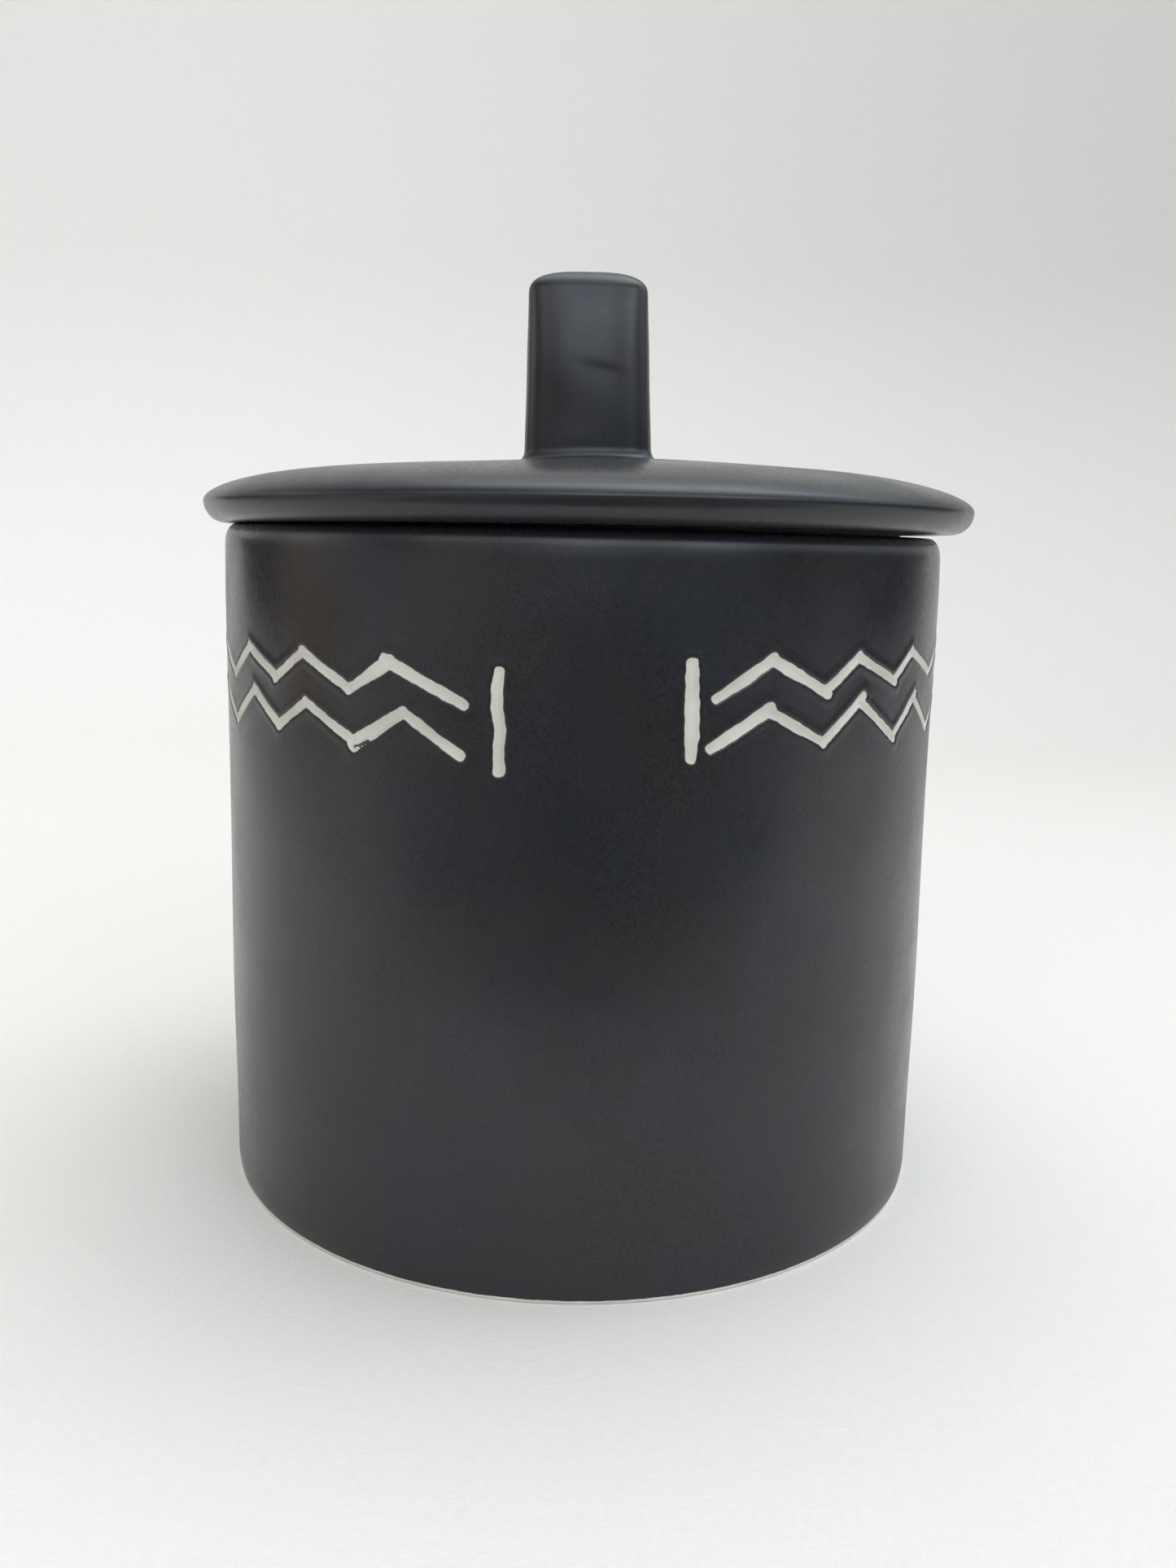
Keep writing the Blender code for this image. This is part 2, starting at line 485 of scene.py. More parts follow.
@dataclass
class Signal:
    """One number that varies over a surface: a node's output with Python's arithmetic."""

    bench: "Bench"
    socket: Socket

    def _join(self, operation: str, first: "Signal | float", second: "Signal | float") -> "Signal":
        """Add a Math node that joins two numbers.

        Args:
            operation: The Math node's operation.
            first: Its first value.
            second: Its second value.

        Returns:
            The node's result.
        """
        node = self.bench.node("ShaderNodeMath", {"operation": operation}, {0: first, 1: second})
        return Signal(self.bench, node.outputs[0])

    def __add__(self, other: "Signal | float") -> "Signal":
        """Sum of the two."""
        return self._join("ADD", self, other)

    __radd__ = __add__

    def __sub__(self, other: "Signal | float") -> "Signal":
        """This less the other."""
        return self._join("SUBTRACT", self, other)

    def __rsub__(self, other: "Signal | float") -> "Signal":
        """The other less this."""
        return self._join("SUBTRACT", other, self)

    def __mul__(self, other: "Signal | float") -> "Signal":
        """Product of the two."""
        return self._join("MULTIPLY", self, other)

    __rmul__ = __mul__

    def root(self) -> "Signal":
        """Square root."""
        return self._join("SQRT", self, 0.0)

    def __pow__(self, power: float) -> "Signal":
        """This, or 0 where it is below 0, raised to a power."""
        return self._join("POWER", self._join("MAXIMUM", self, 0.0), power)

    def within(self, low: float, high: float, soft: float = 0.0001) -> "Signal":
        """1 between low and high, 0 outside, with edges as wide as soft."""
        return self.above(low - soft, low + soft) * self.above(high + soft, high - soft)

    def above(self, low: float, high: float) -> "Signal":
        """Smooth rise from 0 at low to 1 at high.

        Args:
            low: Where the rise starts.
            high: Where the rise ends; below low, the curve falls instead.

        Returns:
            The curve at this number.
        """
        settings = {"interpolation_type": "SMOOTHSTEP"}
        inputs = {"Value": self, "From Min": low, "From Max": high}
        return Signal(self.bench, self.bench.node("ShaderNodeMapRange", settings, inputs).outputs["Result"])


@dataclass
class Bench:
    """Builds one material's nodes. Patterns read Object coordinates, and sizes of patterns are in metres."""

    tree: bpy.types.NodeTree
    place: Socket | None = None

    def node(self, kind: str, settings: dict | None = None, inputs: dict | None = None) -> bpy.types.Node:
        """Add a node, set it up and fill its sockets.

        Args:
            kind: The node's type.
            settings: Attributes, set first.
            inputs: Values, signals or sockets for its inputs, by name or number.

        Returns:
            The new node.
        """
        made = self.tree.nodes.new(kind)
        for name, value in (settings or {}).items():
            setattr(made, name, value)
        for key, value in (inputs or {}).items():
            source = value.socket if isinstance(value, Signal) else value
            if isinstance(source, Socket):
                self.tree.links.new(source, made.inputs[key])
            else:
                made.inputs[key].default_value = source
        return made

    def coordinates(self) -> Socket:
        """The Object coordinates, from one shared node."""
        if self.place is None:
            self.place = self.node("ShaderNodeTexCoord").outputs["Object"]
        return self.place

    def axis(self, name: str) -> Signal:
        """One Object coordinate, X, Y or Z, in metres."""
        node = self.node("ShaderNodeSeparateXYZ", inputs={0: self.coordinates()})
        return Signal(self, node.outputs[name])

    def reach(self) -> Signal:
        """Distance from the vertical axis, in metres, with a ragged waver."""
        across, along = self.axis("X"), self.axis("Y")
        return (across * across + along * along).root() + (self.noise(0.0016, 3.0) - 0.5) * 0.0005

    def noise(self, size: float, detail: float = 2.0, roughness: float = 0.5) -> Signal:
        """Soft random blotches, from 0 to 1 about a half.

        Args:
            size: Rough size of a blotch, in metres.
            detail: How many finer layers are added.
            roughness: How strong the finer layers are.

        Returns:
            The pattern.
        """
        inputs = {"Vector": self.coordinates(), "Scale": 1.0 / size, "Detail": detail, "Roughness": roughness}
        return Signal(self, self.node("ShaderNodeTexNoise", inputs=inputs).outputs["Fac"])

    def specks(self, spacing: float, share: float, size: float) -> Signal:
        """Scattered round dots: cells of a Voronoi pattern, some of which hold a dot at their middle.

        Args:
            spacing: Rough distance between cells, in metres.
            share: Share of the cells that hold a dot.
            size: Radius of a dot, as a share of the spacing.

        Returns:
            1 in a dot, 0 outside.
        """
        inputs = {"Vector": self.coordinates(), "Scale": 1.0 / spacing}
        cells = self.node("ShaderNodeTexVoronoi", inputs=inputs)
        pick = self.node("ShaderNodeSeparateColor", inputs={0: cells.outputs["Color"]}).outputs["Red"]
        chosen = Signal(self, pick).above(share + 0.01, share - 0.01)
        return chosen * Signal(self, cells.outputs["Distance"]).above(size, 0.4 * size)

    def attribute(self, name: str) -> Signal:
        """A number stored on the mesh."""
        return Signal(self, self.node("ShaderNodeAttribute", {"attribute_name": name}).outputs["Fac"])

    def vector(self, operation: str, inputs: dict, output: str = "Vector") -> Socket:
        """Add a Vector Math node and give its output."""
        return self.node("ShaderNodeVectorMath", {"operation": operation}, inputs).outputs[output]

    def mix(self, share: Signal, first: Colour | Socket, second: Colour | Socket) -> Socket:
        """A colour between two, the first at share 0 and the second at share 1.

        Args:
            share: Where between the two.
            first: A colour or a colour socket.
            second: A colour or a colour socket.

        Returns:
            The mixed colour's socket.
        """
        inputs = {0: share}
        for key, colour in ((6, first), (7, second)):
            inputs[key] = (*colour, 1.0) if isinstance(colour, tuple) else colour
        return self.node("ShaderNodeMix", {"data_type": "RGBA"}, inputs).outputs[2]

    def finish(self, colour: Socket, roughness: Signal, height: Signal, **fixed: float) -> None:
        """End the material in a Principled shader.

        Args:
            colour: Base colour.
            roughness: Roughness.
            height: Fine relief for the Bump node, in metres.
            **fixed: Constant values of other sockets, with underscores for spaces.
        """
        bump = self.node("ShaderNodeBump", inputs={"Height": height, "Distance": 1.0, "Strength": 1.0})
        inputs = {"Base Color": colour, "Roughness": roughness, "Normal": bump.outputs["Normal"]}
        inputs.update({name.replace("_", " "): value for name, value in fixed.items()})
        shader = self.node("ShaderNodeBsdfPrincipled", inputs=inputs)
        self.node("ShaderNodeOutputMaterial", inputs={"Surface": shader.outputs[0]})


@dataclass(frozen=True)
class Finish:
    """A surface finish. Each kind fills its own nodes."""

    name: str

    def fill(self, bench: Bench) -> None:
        """Add the finish's nodes to an empty tree."""
        raise NotImplementedError

    def material(self) -> bpy.types.Material:
        """Make the material."""
        made = bpy.data.materials.new(self.name)
        made.use_nodes = True
        made.node_tree.nodes.clear()
        self.fill(Bench(made.node_tree))
        return made


@dataclass(frozen=True)
class BareClay(Finish):
    """Fired cream stoneware: matt, slightly sandy, with a few iron specks."""

    name: str = "bare_clay"
    pale: Colour = (0.640, 0.625, 0.560)
    warm: Colour = (0.560, 0.535, 0.465)
    iron: Colour = (0.130, 0.085, 0.055)

    def colour(self, bench: Bench) -> Socket:
        """Cream with warmer clouds and small iron specks."""
        clouds = bench.mix(bench.noise(0.006, 4.0).above(0.35, 0.75), self.pale, self.warm)
        specks = bench.specks(0.0011, 0.045, 0.15) * 0.8
        return bench.mix(specks, clouds, self.iron)

    def height(self, bench: Bench) -> Signal:
        """Sandy grain."""
        return bench.noise(0.00022, 3.0, 0.6) * 0.000010

    def fill(self, bench: Bench) -> None:
        """Clay all over."""
        roughness = bench.noise(0.0006, 2.0) * 0.16 + 0.70
        bench.finish(self.colour(bench), roughness, self.height(bench))


@dataclass(frozen=True)
class SatinGlaze(Finish):
    """Charcoal glaze with a soft sheen.

    Iron shows as clouds of fine dark grains, cool and warm greys drift into each other, and pinholes lie
    here and there.
    """

    name: str = "satin_glaze"
    grain: Colour = (0.0045, 0.0046, 0.0050)
    cool: Colour = (0.0126, 0.0144, 0.0198)
    warm: Colour = (0.0140, 0.0140, 0.0152)
    sheen_roughness: float = 0.27

    def clouds(self, bench: Bench) -> Signal:
        """Where the dark grains gather, from 0 to 1."""
        return bench.noise(0.017, 3.0, 0.55).above(0.40, 0.62)

    def grains(self, bench: Bench) -> Signal:
        """The dark grains themselves, from 0 to 1."""
        return bench.noise(0.00030, 3.0, 0.65).above(0.47, 0.62)

    def colour(self, bench: Bench) -> Socket:
        """Two greys that drift into each other, with the dark grains on them."""
        ground = bench.mix(bench.noise(0.013, 3.0, 0.6).above(0.38, 0.62), self.cool, self.warm)
        return bench.mix(self.grains(bench) * (self.clouds(bench) * 0.85 + 0.15), ground, self.grain)

    def roughness(self, bench: Bench) -> Signal:
        """Satin, a little duller and glossier by turns, and duller where the grains are."""
        slow = (bench.noise(0.012, 3.0) - 0.5) * 0.16
        quick = (bench.noise(0.0009, 3.0) - 0.5) * 0.12
        return slow + quick + self.clouds(bench) * 0.05 + self.sheen_roughness

    def height(self, bench: Bench) -> Signal:
        """A faint ripple, a fine tooth and pinholes."""
        ripple = bench.noise(0.0050, 2.0) * 0.000022
        tooth = bench.noise(0.00045, 3.0, 0.6) * 0.0000045
        return ripple + tooth - bench.specks(0.0042, 0.10, 0.028) * 0.00004

    def fill(self, bench: Bench) -> None:
        """Glaze all over."""
        bench.finish(self.colour(bench), self.roughness(bench), self.height(bench), IOR=1.5)

    def bared(self, bench: Bench, bare: Signal, clay: BareClay, glaze: Socket) -> None:
        """Glaze with bare clay where bare is 1.

        Args:
            bench: The material's bench.
            bare: Share of bare clay.
            clay: The clay's finish.
            glaze: Colour of the glaze.
        """
        colour = bench.mix(bare, glaze, clay.colour(bench))
        roughness = self.roughness(bench)
        roughness = roughness + bare * (0.78 - roughness)
        height = self.height(bench) * (1.0 - bare) + clay.height(bench) * bare
        bench.finish(colour, roughness, height, IOR=1.5)


@dataclass(frozen=True)
class CutGlaze(SatinGlaze):
    """The bowl's finish: glaze, with clay where the band is cut and where rim and foot were wiped."""

    name: str = "cut_glaze"
    clay: BareClay = BareClay()
    burnt: Colour = (0.060, 0.040, 0.026)
    foot_line: float = 0.00050
    rim_line: float = 0.0866
    rim_wiped: Pair = (0.0437, 0.0458)

    def fill(self, bench: Bench) -> None:
        """Glaze, a thin burnt line at the strokes' edge, and clay inside them and where it was wiped."""
        ragged = (bench.noise(0.0011, 3.0) - 0.5) * 0.00016
        height = bench.axis("Z") + ragged
        cut = bench.attribute("cut_mm") + (bench.noise(0.00030, 3.0) - 0.5) * 0.10
        stroke = cut.above(0.035, -0.035)
        foot = height.above(self.foot_line + 0.00004, self.foot_line - 0.00004)
        rim = height.above(self.rim_line - 0.00004, self.rim_line + 0.00004)
        rim = rim * bench.reach().within(*self.rim_wiped)
        bare = 1.0 - (1.0 - stroke) * (1.0 - foot) * (1.0 - rim)
        glaze = bench.mix(cut.above(0.15, 0.05) * 0.75, self.colour(bench), self.burnt)
        self.bared(bench, bare, self.clay, glaze)


@dataclass(frozen=True)
class LidGlaze(SatinGlaze):
    """The disc's finish: glaze, with a ring under it wiped clean where it rests on the rim."""

    name: str = "lid_glaze"
    clay: BareClay = BareClay()
    wiped: Pair = (0.0375, 0.0455)
    seat: float = 0.0877

    def fill(self, bench: Bench) -> None:
        """Glaze, and clay on the flat of the seat."""
        low = bench.axis("Z").above(self.seat + 0.0002, self.seat - 0.0001)
        bare = low * bench.reach().within(*self.wiped)
        self.bared(bench, bare, self.clay, self.colour(bench))


@dataclass(frozen=True)
class Paper(Finish):
    """Pale matt paper of the stage, with painted shade that darkens it towards its far right."""

    name: str = "paper"
    white: Colour = (0.872, 0.846, 0.790)
    shade: Colour = (0.807, 0.781, 0.729)
    painted_shade: Colour = (0.0, 0.0, 0.0)

    def fill(self, bench: Bench) -> None:
        """Fine fibres, and painted shade: a slow darkening towards the right, the back and the top."""
        tone = bench.mix(bench.noise(0.0012, 5.0, 0.7), self.shade, self.white)
        # Painted shade: the paper darkens towards the back and the top, most of all on the right.
        far = bench.axis("Y").above(-0.15, 0.50) * 0.18 + bench.axis("Z").above(0.0, 0.35) * 0.07
        tone = bench.mix(bench.axis("X").above(-0.35, 0.45) * far, tone, self.painted_shade)
        bench.finish(tone, bench.noise(0.004) * 0.1 + 0.85, bench.noise(0.0008, 5.0, 0.7) * 0.00012)


@dataclass
class Bowl:
    """The bowl: a straight thrown wall, a rounded rim and a low foot ring, with the band cut in its outside."""

    band: CutBand = field(default_factory=CutBand)
    rim_radius: float = 0.0478
    belly_height: float = 0.014
    wall: float = 0.0048
    floor: float = 0.0055
    rim_rounding: Pair = (0.0015, 0.0024)
    floor_corner: float = 0.0070
    foot_radius: float = 0.0480
    foot_corner: float = 0.0003
    foot_ring: float = 0.0065
    foot_recess: float = 0.0010
    band_low: float = 0.0596
    band_high: float = 0.0758
    band_rings: int = 68
    waist_depth: float = 0.00007
    waist_crest: float = 0.078
    waist_wave: float = 0.052
    rim_sink: float = 0.00011
    throwing_depth: float = 0.00009
    throwing_pitch: float = 0.0072
    columns: int = 280

    def __post_init__(self) -> None:
        """Read the height and the fullest radius from the CAD node."""
        low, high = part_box("bowl")
        self.height = high.z
        self.belly_radius = (high.x - low.x) / 2.0

    def outer_radius(self, height: np.ndarray) -> np.ndarray:
        """Radius of the wall's outside: it swells from rim to belly along a quarter of a sine wave."""
        share = (self.height - height) / (self.height - self.belly_height)
        return self.rim_radius + (self.belly_radius - self.rim_radius) * np.sin(0.5 * math.pi * share)

    def wall_run(self, high: float, low: float, count: int) -> np.ndarray:
        """Points down the outside of the wall from one height to another."""
        heights = np.linspace(high, low, count)
        return np.stack([self.outer_radius(heights), heights], axis=1)

    def outside(self, azimuth: np.ndarray, radius: np.ndarray, height: np.ndarray) -> np.ndarray:
        """Unevenness of the wall's outside, which fades out at the foot and at the rim.

        A cosine makes the slight waist at mid height. Slow waves and faint turning rings are added.
        """
        fade = smoothstep(0.0, 0.012, height) * smoothstep(self.height, self.height - 0.008, height)
        waist = self.waist_depth * np.cos(FULL_TURN * (height - self.waist_crest) / self.waist_wave)
        slow = Waver(seed=2, wavelength=0.055, height=0.00005).at(azimuth * self.rim_radius, height)
        rings = Waver(seed=3, wavelength=0.015, height=0.00002, waves=4).at(0.0 * azimuth, height)
        return fade * (waist + slow + rings)

    def cut_outside(self, azimuth: np.ndarray, radius: np.ndarray, height: np.ndarray) -> np.ndarray:
        """Unevenness of the wall plus the band's relief."""
        return self.outside(azimuth, radius, height) + self.band.relief(self.band.distance(azimuth, height))

    def rim_lift(self, azimuth: np.ndarray, radius: np.ndarray, height: np.ndarray) -> np.ndarray:
        """The rim sinks a little towards +X."""
        return -self.rim_sink * (1.0 + np.sin(azimuth)) * smoothstep(self.height - 0.008, self.height, height)

    def inside(self, azimuth: np.ndarray, radius: np.ndarray, height: np.ndarray) -> np.ndarray:
        """Soft throwing rings on the inner wall, which climb a little as they go round."""
        climb = height + 0.0008 * np.sin(azimuth)
        above_floor = smoothstep(self.floor + 0.004, 0.025, height)
        fade = above_floor * smoothstep(self.height, self.height - 0.010, height)
        return fade * self.throwing_depth * np.sin(FULL_TURN * climb / self.throwing_pitch)

    def stretches(self) -> list[Stretch]:
        """The profile, from the middle of the floor over the rim and down to the middle of the underside."""
        inner = self.rim_radius - self.wall
        rim = self.rim_rounding
        corner = self.floor_corner
        sharp = self.foot_corner
        foot_outer = self.foot_radius - sharp
        foot_inner = foot_outer - self.foot_ring
        coarse = self.columns
        recess = self.foot_recess
        floor_top = self.floor + corner
        wall_top = self.height - rim[1]
        band_run = self.wall_run(self.band_high, self.band_low, self.band_rings)
        rim_inner = (inner + rim[0], wall_top)
        rim_outer = (self.rim_radius - rim[0], wall_top)
        return [
            Stretch(line((0.0, self.floor), (inner - corner, self.floor), 12)[:-1], coarse),
            Stretch(arc((inner - corner, floor_top), (corner, corner), (-90, 0), 12), coarse),
            Stretch(line((inner, floor_top + 0.001), (inner, wall_top - 0.0006), 60), coarse, self.inside),
            Stretch(arc(rim_inner, rim, (180, 90), 9), coarse, None, self.rim_lift),
            Stretch(arc(rim_outer, rim, (90, 4), 12), coarse, None, self.rim_lift),
            Stretch(self.wall_run(wall_top - 0.0004, self.band_high + 0.0008, 12), coarse, self.outside),
            Stretch(band_run, 4 * coarse, self.cut_outside),
            Stretch(self.wall_run(self.band_low - 0.0008, 0.0016, 36), coarse, self.outside),
            Stretch(arc((foot_outer, sharp), (sharp, sharp), (0, -90), 7), coarse),
            Stretch(line((foot_outer - 0.0005, 0.0), (foot_inner, 0.0), 4), coarse),
            Stretch(arc((foot_inner - 0.0003, recess), (0.0003, recess), (-60, -90), 2), coarse),
            Stretch(line((foot_inner - recess, recess), (0.0, recess), 8), coarse),
        ]

    def build(self) -> bpy.types.Object:
        """Turn the bowl and store how far each vertex of the band is from a stroke.

        Returns:
            The bowl.
        """
        lathe = Lathe(self.stretches())
        piece = lathe.piece("stoneware_bowl")
        azimuth, radius, height = lathe.flat.T
        in_band = (height > self.band_low - 0.0005) & (height < self.band_high + 0.0005)
        in_band &= radius > self.rim_radius - 0.002
        cut = np.full(len(height), 9.0)
        cut[in_band] = self.band.distance(azimuth[in_band], height[in_band])
        store(piece, "cut_mm", cut)
        return piece

    def dress(self, piece: bpy.types.Object) -> None:
        """Give the bowl its finish and its place in the frame."""
        settle(piece, CutGlaze(), Body.BOWL, "bowl")


def settle(piece: bpy.types.Object, finish: Finish, body: Body, node: str) -> None:
    """Give a piece its material and its body, and hide the CAD node that it stands for.

    Args:
        piece: The finished piece.
        finish: What it is dressed in.
        body: The CAD body that it moves with.
        node: The CAD node that it replaces.
    """
    piece.data.materials.append(finish.material())
    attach(piece, body.value)
    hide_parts(node)
    log.info("%s: %d faces", piece.name, len(piece.data.polygons))


@dataclass
class Lid:
    """The lid: a low domed disc that overhangs the bowl, a locating ring under it and a flat tab knob on top.

    The clay moved a little as it was made: the disc's middle slopes down towards -X, the knob leans with it,
    and the lid rests on the rim at -X and stands a hair clear of it at +X.
    """

    edge_undercut: float = 0.0026
    equator_rise: float = 0.0028
    crown_land: float = 0.0050
    cone_slope: float = 0.078
    shoulder_run: float = 0.0140
    hollow_radius: float = 0.0375
    hollow_rise: float = 0.0036
    skew: float = 0.0013
    rest_tilt_deg: float = 0.20
    rest_drop: float = 0.00012
    ring_thickness: float = 0.0034
    ring_lip: float = 0.0008
    ring_taper: float = 0.0004
    slip_fillet: float = 0.0007
    columns: int = 320
    knob_columns: int = 192
    knob_half_width: Pair = (0.00868, 0.00788)
    knob_half_depth: float = 0.0049
    knob_bend: float = 0.0022
    knob_section: float = 3.0
    knob_domes: Pair = (0.0031, 0.0024)
    knob_dome_powers: Pair = (2.8, 2.0)
    knob_lean_deg: float = 0.7
    knob_fillet: Pair = (0.0012, 0.0014)
    dent_depth: float = 0.00010
    dent_place: Pair = (0.0019, 0.0114)
    dent_half_width: float = 0.0030
    dent_above: float = 0.0009
    dent_below: float = 0.0032
    dent_slant: float = 0.18

    def __post_init__(self) -> None:
        """Read the places of the lid's parts from their CAD nodes."""
        low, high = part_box("lid_disc")
        self.centre_x = (low.x + high.x) / 2.0
        self.radius = (high.x - low.x) / 2.0
        self.seat = low.z
        self.crown = high.z
        low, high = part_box("lid_knob")
        self.knob_x = (low.x + high.x) / 2.0
        self.knob_height = high.z

    def rest(self, piece: bpy.types.Object) -> bpy.types.Object:
        """Let a finished piece of the lid down onto the rim, with the lid's slight tilt, in its mesh."""
        middle = Matrix.Translation((self.centre_x, 0.0, self.seat))
        tilt = Matrix.Rotation(-math.radians(self.rest_tilt_deg), 4, "Y")
        drop = Matrix.Translation((0.0, 0.0, -self.rest_drop))
        piece.data.transform(drop @ middle @ tilt @ middle.inverted())
        return piece

    def top(self, radius: np.ndarray) -> np.ndarray:
        """Height of the disc's top: a level middle, a shallow cone, and an ellipse at the shoulder."""
        cone = self.crown - self.cone_slope * np.maximum(0.0, radius - self.crown_land)
        edge = self.crown - self.cone_slope * (self.radius - self.crown_land)
        drop = edge - self.seat - self.equator_rise
        reach = np.clip((radius - self.radius + self.shoulder_run) / self.shoulder_run, 0.0, 1.0)
        return cone - drop * (1.0 - np.sqrt(1.0 - reach * reach))

    def slope(self, azimuth: np.ndarray, radius: np.ndarray, height: np.ndarray) -> np.ndarray:
        """How far the disc's top rises towards +X: in proportion to x near the middle, nothing at the edge."""
        share = np.clip(radius / self.radius, 0.0, 1.0)
        return self.skew * share * np.sin(azimuth) * (1.0 - share * share) ** 2 - 0.06 * self.skew

    def wobble(self, azimuth: np.ndarray, radius: np.ndarray, height: np.ndarray) -> np.ndarray:
        """Slow unevenness of the disc's outline, which fades out towards the middle."""
        slow = Waver(seed=8, wavelength=0.07, height=0.00007).at(azimuth * self.radius, 2.0 * height)
        return slow * smoothstep(0.3 * self.radius, self.radius, radius)

    def build_disc(self) -> bpy.types.Object:
        """Turn the disc, with its seat flat and its underside hollowed inside the locating ring."""
        flat = self.radius - self.shoulder_run
        inner = np.linspace(0.0, flat, 22)[:-1]
        shoulder = flat + self.shoulder_run * np.sin(np.linspace(0.0, 0.5 * math.pi, 34))
        radii = np.concatenate([inner, shoulder])
        top = np.stack([radii, self.top(radii)], axis=1)
        corner = (self.radius - self.edge_undercut, self.seat + self.equator_rise)
        under = arc(corner, (self.edge_undercut, self.equator_rise), (0, -90), 16)[1:]
        seat = line((corner[0] - 0.0008, self.seat), (self.hollow_radius + 0.0005, self.seat), 12)
        hollow = arc((0.0, self.seat), (self.hollow_radius, self.hollow_rise), (0, 90), 24)
        hollow[-1, 0] = 0.0
        stretches = [
            Stretch(top, self.columns, self.wobble, self.slope),
            Stretch(np.concatenate([under, seat, hollow]), self.columns, self.wobble),
        ]
        return self.rest(Lathe(stretches, self.centre_x).piece("lid_plate"))

    def dress_disc(self, piece: bpy.types.Object) -> None:
        """Glaze the disc, with its seat wiped clean."""
        finish = LidGlaze(seat=self.seat + 0.0002)
        settle(piece, finish, Body.LID, "lid_disc")

    def build_ring(self) -> bpy.types.Object:
        """Turn the locating ring, sunk a hair into the disc, with a small fillet of slip where they meet."""
        low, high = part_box("lid_locating_ring")
        outer = (high.x - low.x) / 2.0
        inner = outer - self.ring_thickness
        lower_outer = outer - self.ring_taper
        lip, fillet = self.ring_lip, self.slip_fillet
        top = self.seat + 0.00005
        profile = np.concatenate([
            arc((outer + fillet, top - fillet), (fillet, fillet), (90, 180), 7),
            line((outer, top - fillet - 0.0006), (lower_outer, low.z + lip + 0.0006), 10),
            arc((lower_outer - lip, low.z + lip), (lip, lip), (0, -90), 8),
            arc((inner + lip, low.z + lip), (lip, lip), (-90, -180), 8),
            line((inner, low.z + lip + 0.0006), (inner, top - fillet - 0.0006), 10),
            arc((inner - fillet, top - fillet), (fillet, fillet), (0, 90), 7),
        ])
        return self.rest(Lathe([Stretch(profile, self.columns)], self.centre_x).piece("lid_flange"))

    def dress_ring(self, piece: bpy.types.Object) -> None:
        """Leave the locating ring as bare clay."""
        settle(piece, BareClay(name="flange_clay"), Body.LID, "lid_locating_ring")

    def knob_rows(self) -> np.ndarray:
        """Sections of the knob from foot to top, as rows of half width, half depth and height.

        The sides narrow evenly, the faces bend inwards with the cube of the height, and a concave quarter
        ellipse flares the foot. The top is a dome, taller across than in depth: with t the share of its
        height, a half size shrinks as (1 - t^n)^(1/n).

        Returns:
            An array of shape (rows, 3), without the pole.
        """
        crown, top = self.crown, self.knob_height
        flare_out, flare_up = self.knob_fillet
        foot = crown + flare_up * np.linspace(0.0, 1.0, 14) ** 1.5
        dome = max(self.knob_domes)
        rise = np.sin(np.radians(np.linspace(0.0, 88.5, 40))) ** 0.75
        heights = np.concatenate([foot, np.linspace(foot[-1], top - dome, 56)[1:-1], top - dome + dome * rise])
        share = (heights - crown) / (top - crown)
        left = 1.0 - np.clip((heights - crown) / flare_up, 0.0, 1.0)
        flare = flare_out * (1.0 - np.sqrt(1.0 - left * left))
        wide, narrow = self.knob_half_width
        depth = self.knob_half_depth - self.knob_bend * share**3
        halves = [wide + (narrow - wide) * share + flare, depth + flare]
        for side, (dome, power) in enumerate(zip(self.knob_domes, self.knob_dome_powers)):
            reach = np.clip((heights - top + dome) / dome, 0.0, 1.0)
            halves[side] = halves[side] * (1.0 - reach**power) ** (1.0 / power)
        return np.stack([*halves, heights], axis=1)

    def build_knob(self) -> bpy.types.Object:
        """Loft the knob through superellipses, |x/a|^n + |y/b|^n = 1, stacked from its foot to its top.

        The foot follows the disc's top, the whole knob leans a little towards -X, and its faces carry the
        shallow dents of the fingers that pressed it on.

        Returns:
            The knob.
        """
        rows = self.knob_rows()
        rows = np.concatenate([rows[:1] - [0.0, 0.0, 0.0006], rows])
        turn = np.arange(self.knob_columns) / self.knob_columns * FULL_TURN
        power = 2.0 / self.knob_section
        unit_x = np.sign(np.sin(turn)) * np.abs(np.sin(turn)) ** power
        unit_y = -np.sign(np.cos(turn)) * np.abs(np.cos(turn)) ** power
        x = rows[:, 0:1] * unit_x
        y = rows[:, 1:2] * unit_y
        z = rows[:, 2:3] + 0.0 * unit_x
        up = z - self.crown
        rise = smoothstep(0.0, 0.004, up) * smoothstep(self.knob_height, self.knob_height - 0.003, z)
        dents = Waver(seed=21, wavelength=0.013, height=0.00008).at(x, z)
        across = (x - self.dent_place[0]) / self.dent_half_width
        off = up - self.dent_place[1] + self.dent_slant * x
        fall = np.where(off > 0.0, self.dent_above, self.dent_below)
        press = -self.dent_depth * np.exp(-(across**2 + (off / fall) ** 2))
        y = y + np.sign(unit_y) * np.abs(unit_y) ** 3 * rise * (dents + press * (unit_y < 0.0))
        x = x + unit_x * rise * Waver(seed=22, wavelength=0.012, height=0.00005).at(y, z)
        radius = np.hypot(x, y)
        sag = self.top(radius) - self.crown + self.slope(np.arctan2(x, -y), radius, z) - 0.00008
        z = z + sag * (1.0 - smoothstep(0.0, 0.004, up))
        x = x + self.knob_x - math.tan(math.radians(self.knob_lean_deg)) * up
        grid = np.stack([x, y, z], axis=2)
        top = np.array([[np.mean(x[-1]), 0.0, self.knob_height]])
        bottom = np.array([[self.knob_x, 0.0, np.mean(z[0])]])
        points = np.concatenate([grid.reshape(-1, 3), top, bottom])
        numbers = np.arange(grid.shape[0] * grid.shape[1]).reshape(grid.shape[:2])
        poles = np.array([[len(points) - 2], [len(points) - 1]])
        rings = [poles[1], *numbers, poles[0]]
        faces = [group for lower, upper in zip(rings[:-1], rings[1:]) for group in Lathe.between(upper, lower)]
        return self.rest(make_piece("knob_tab", points, faces))

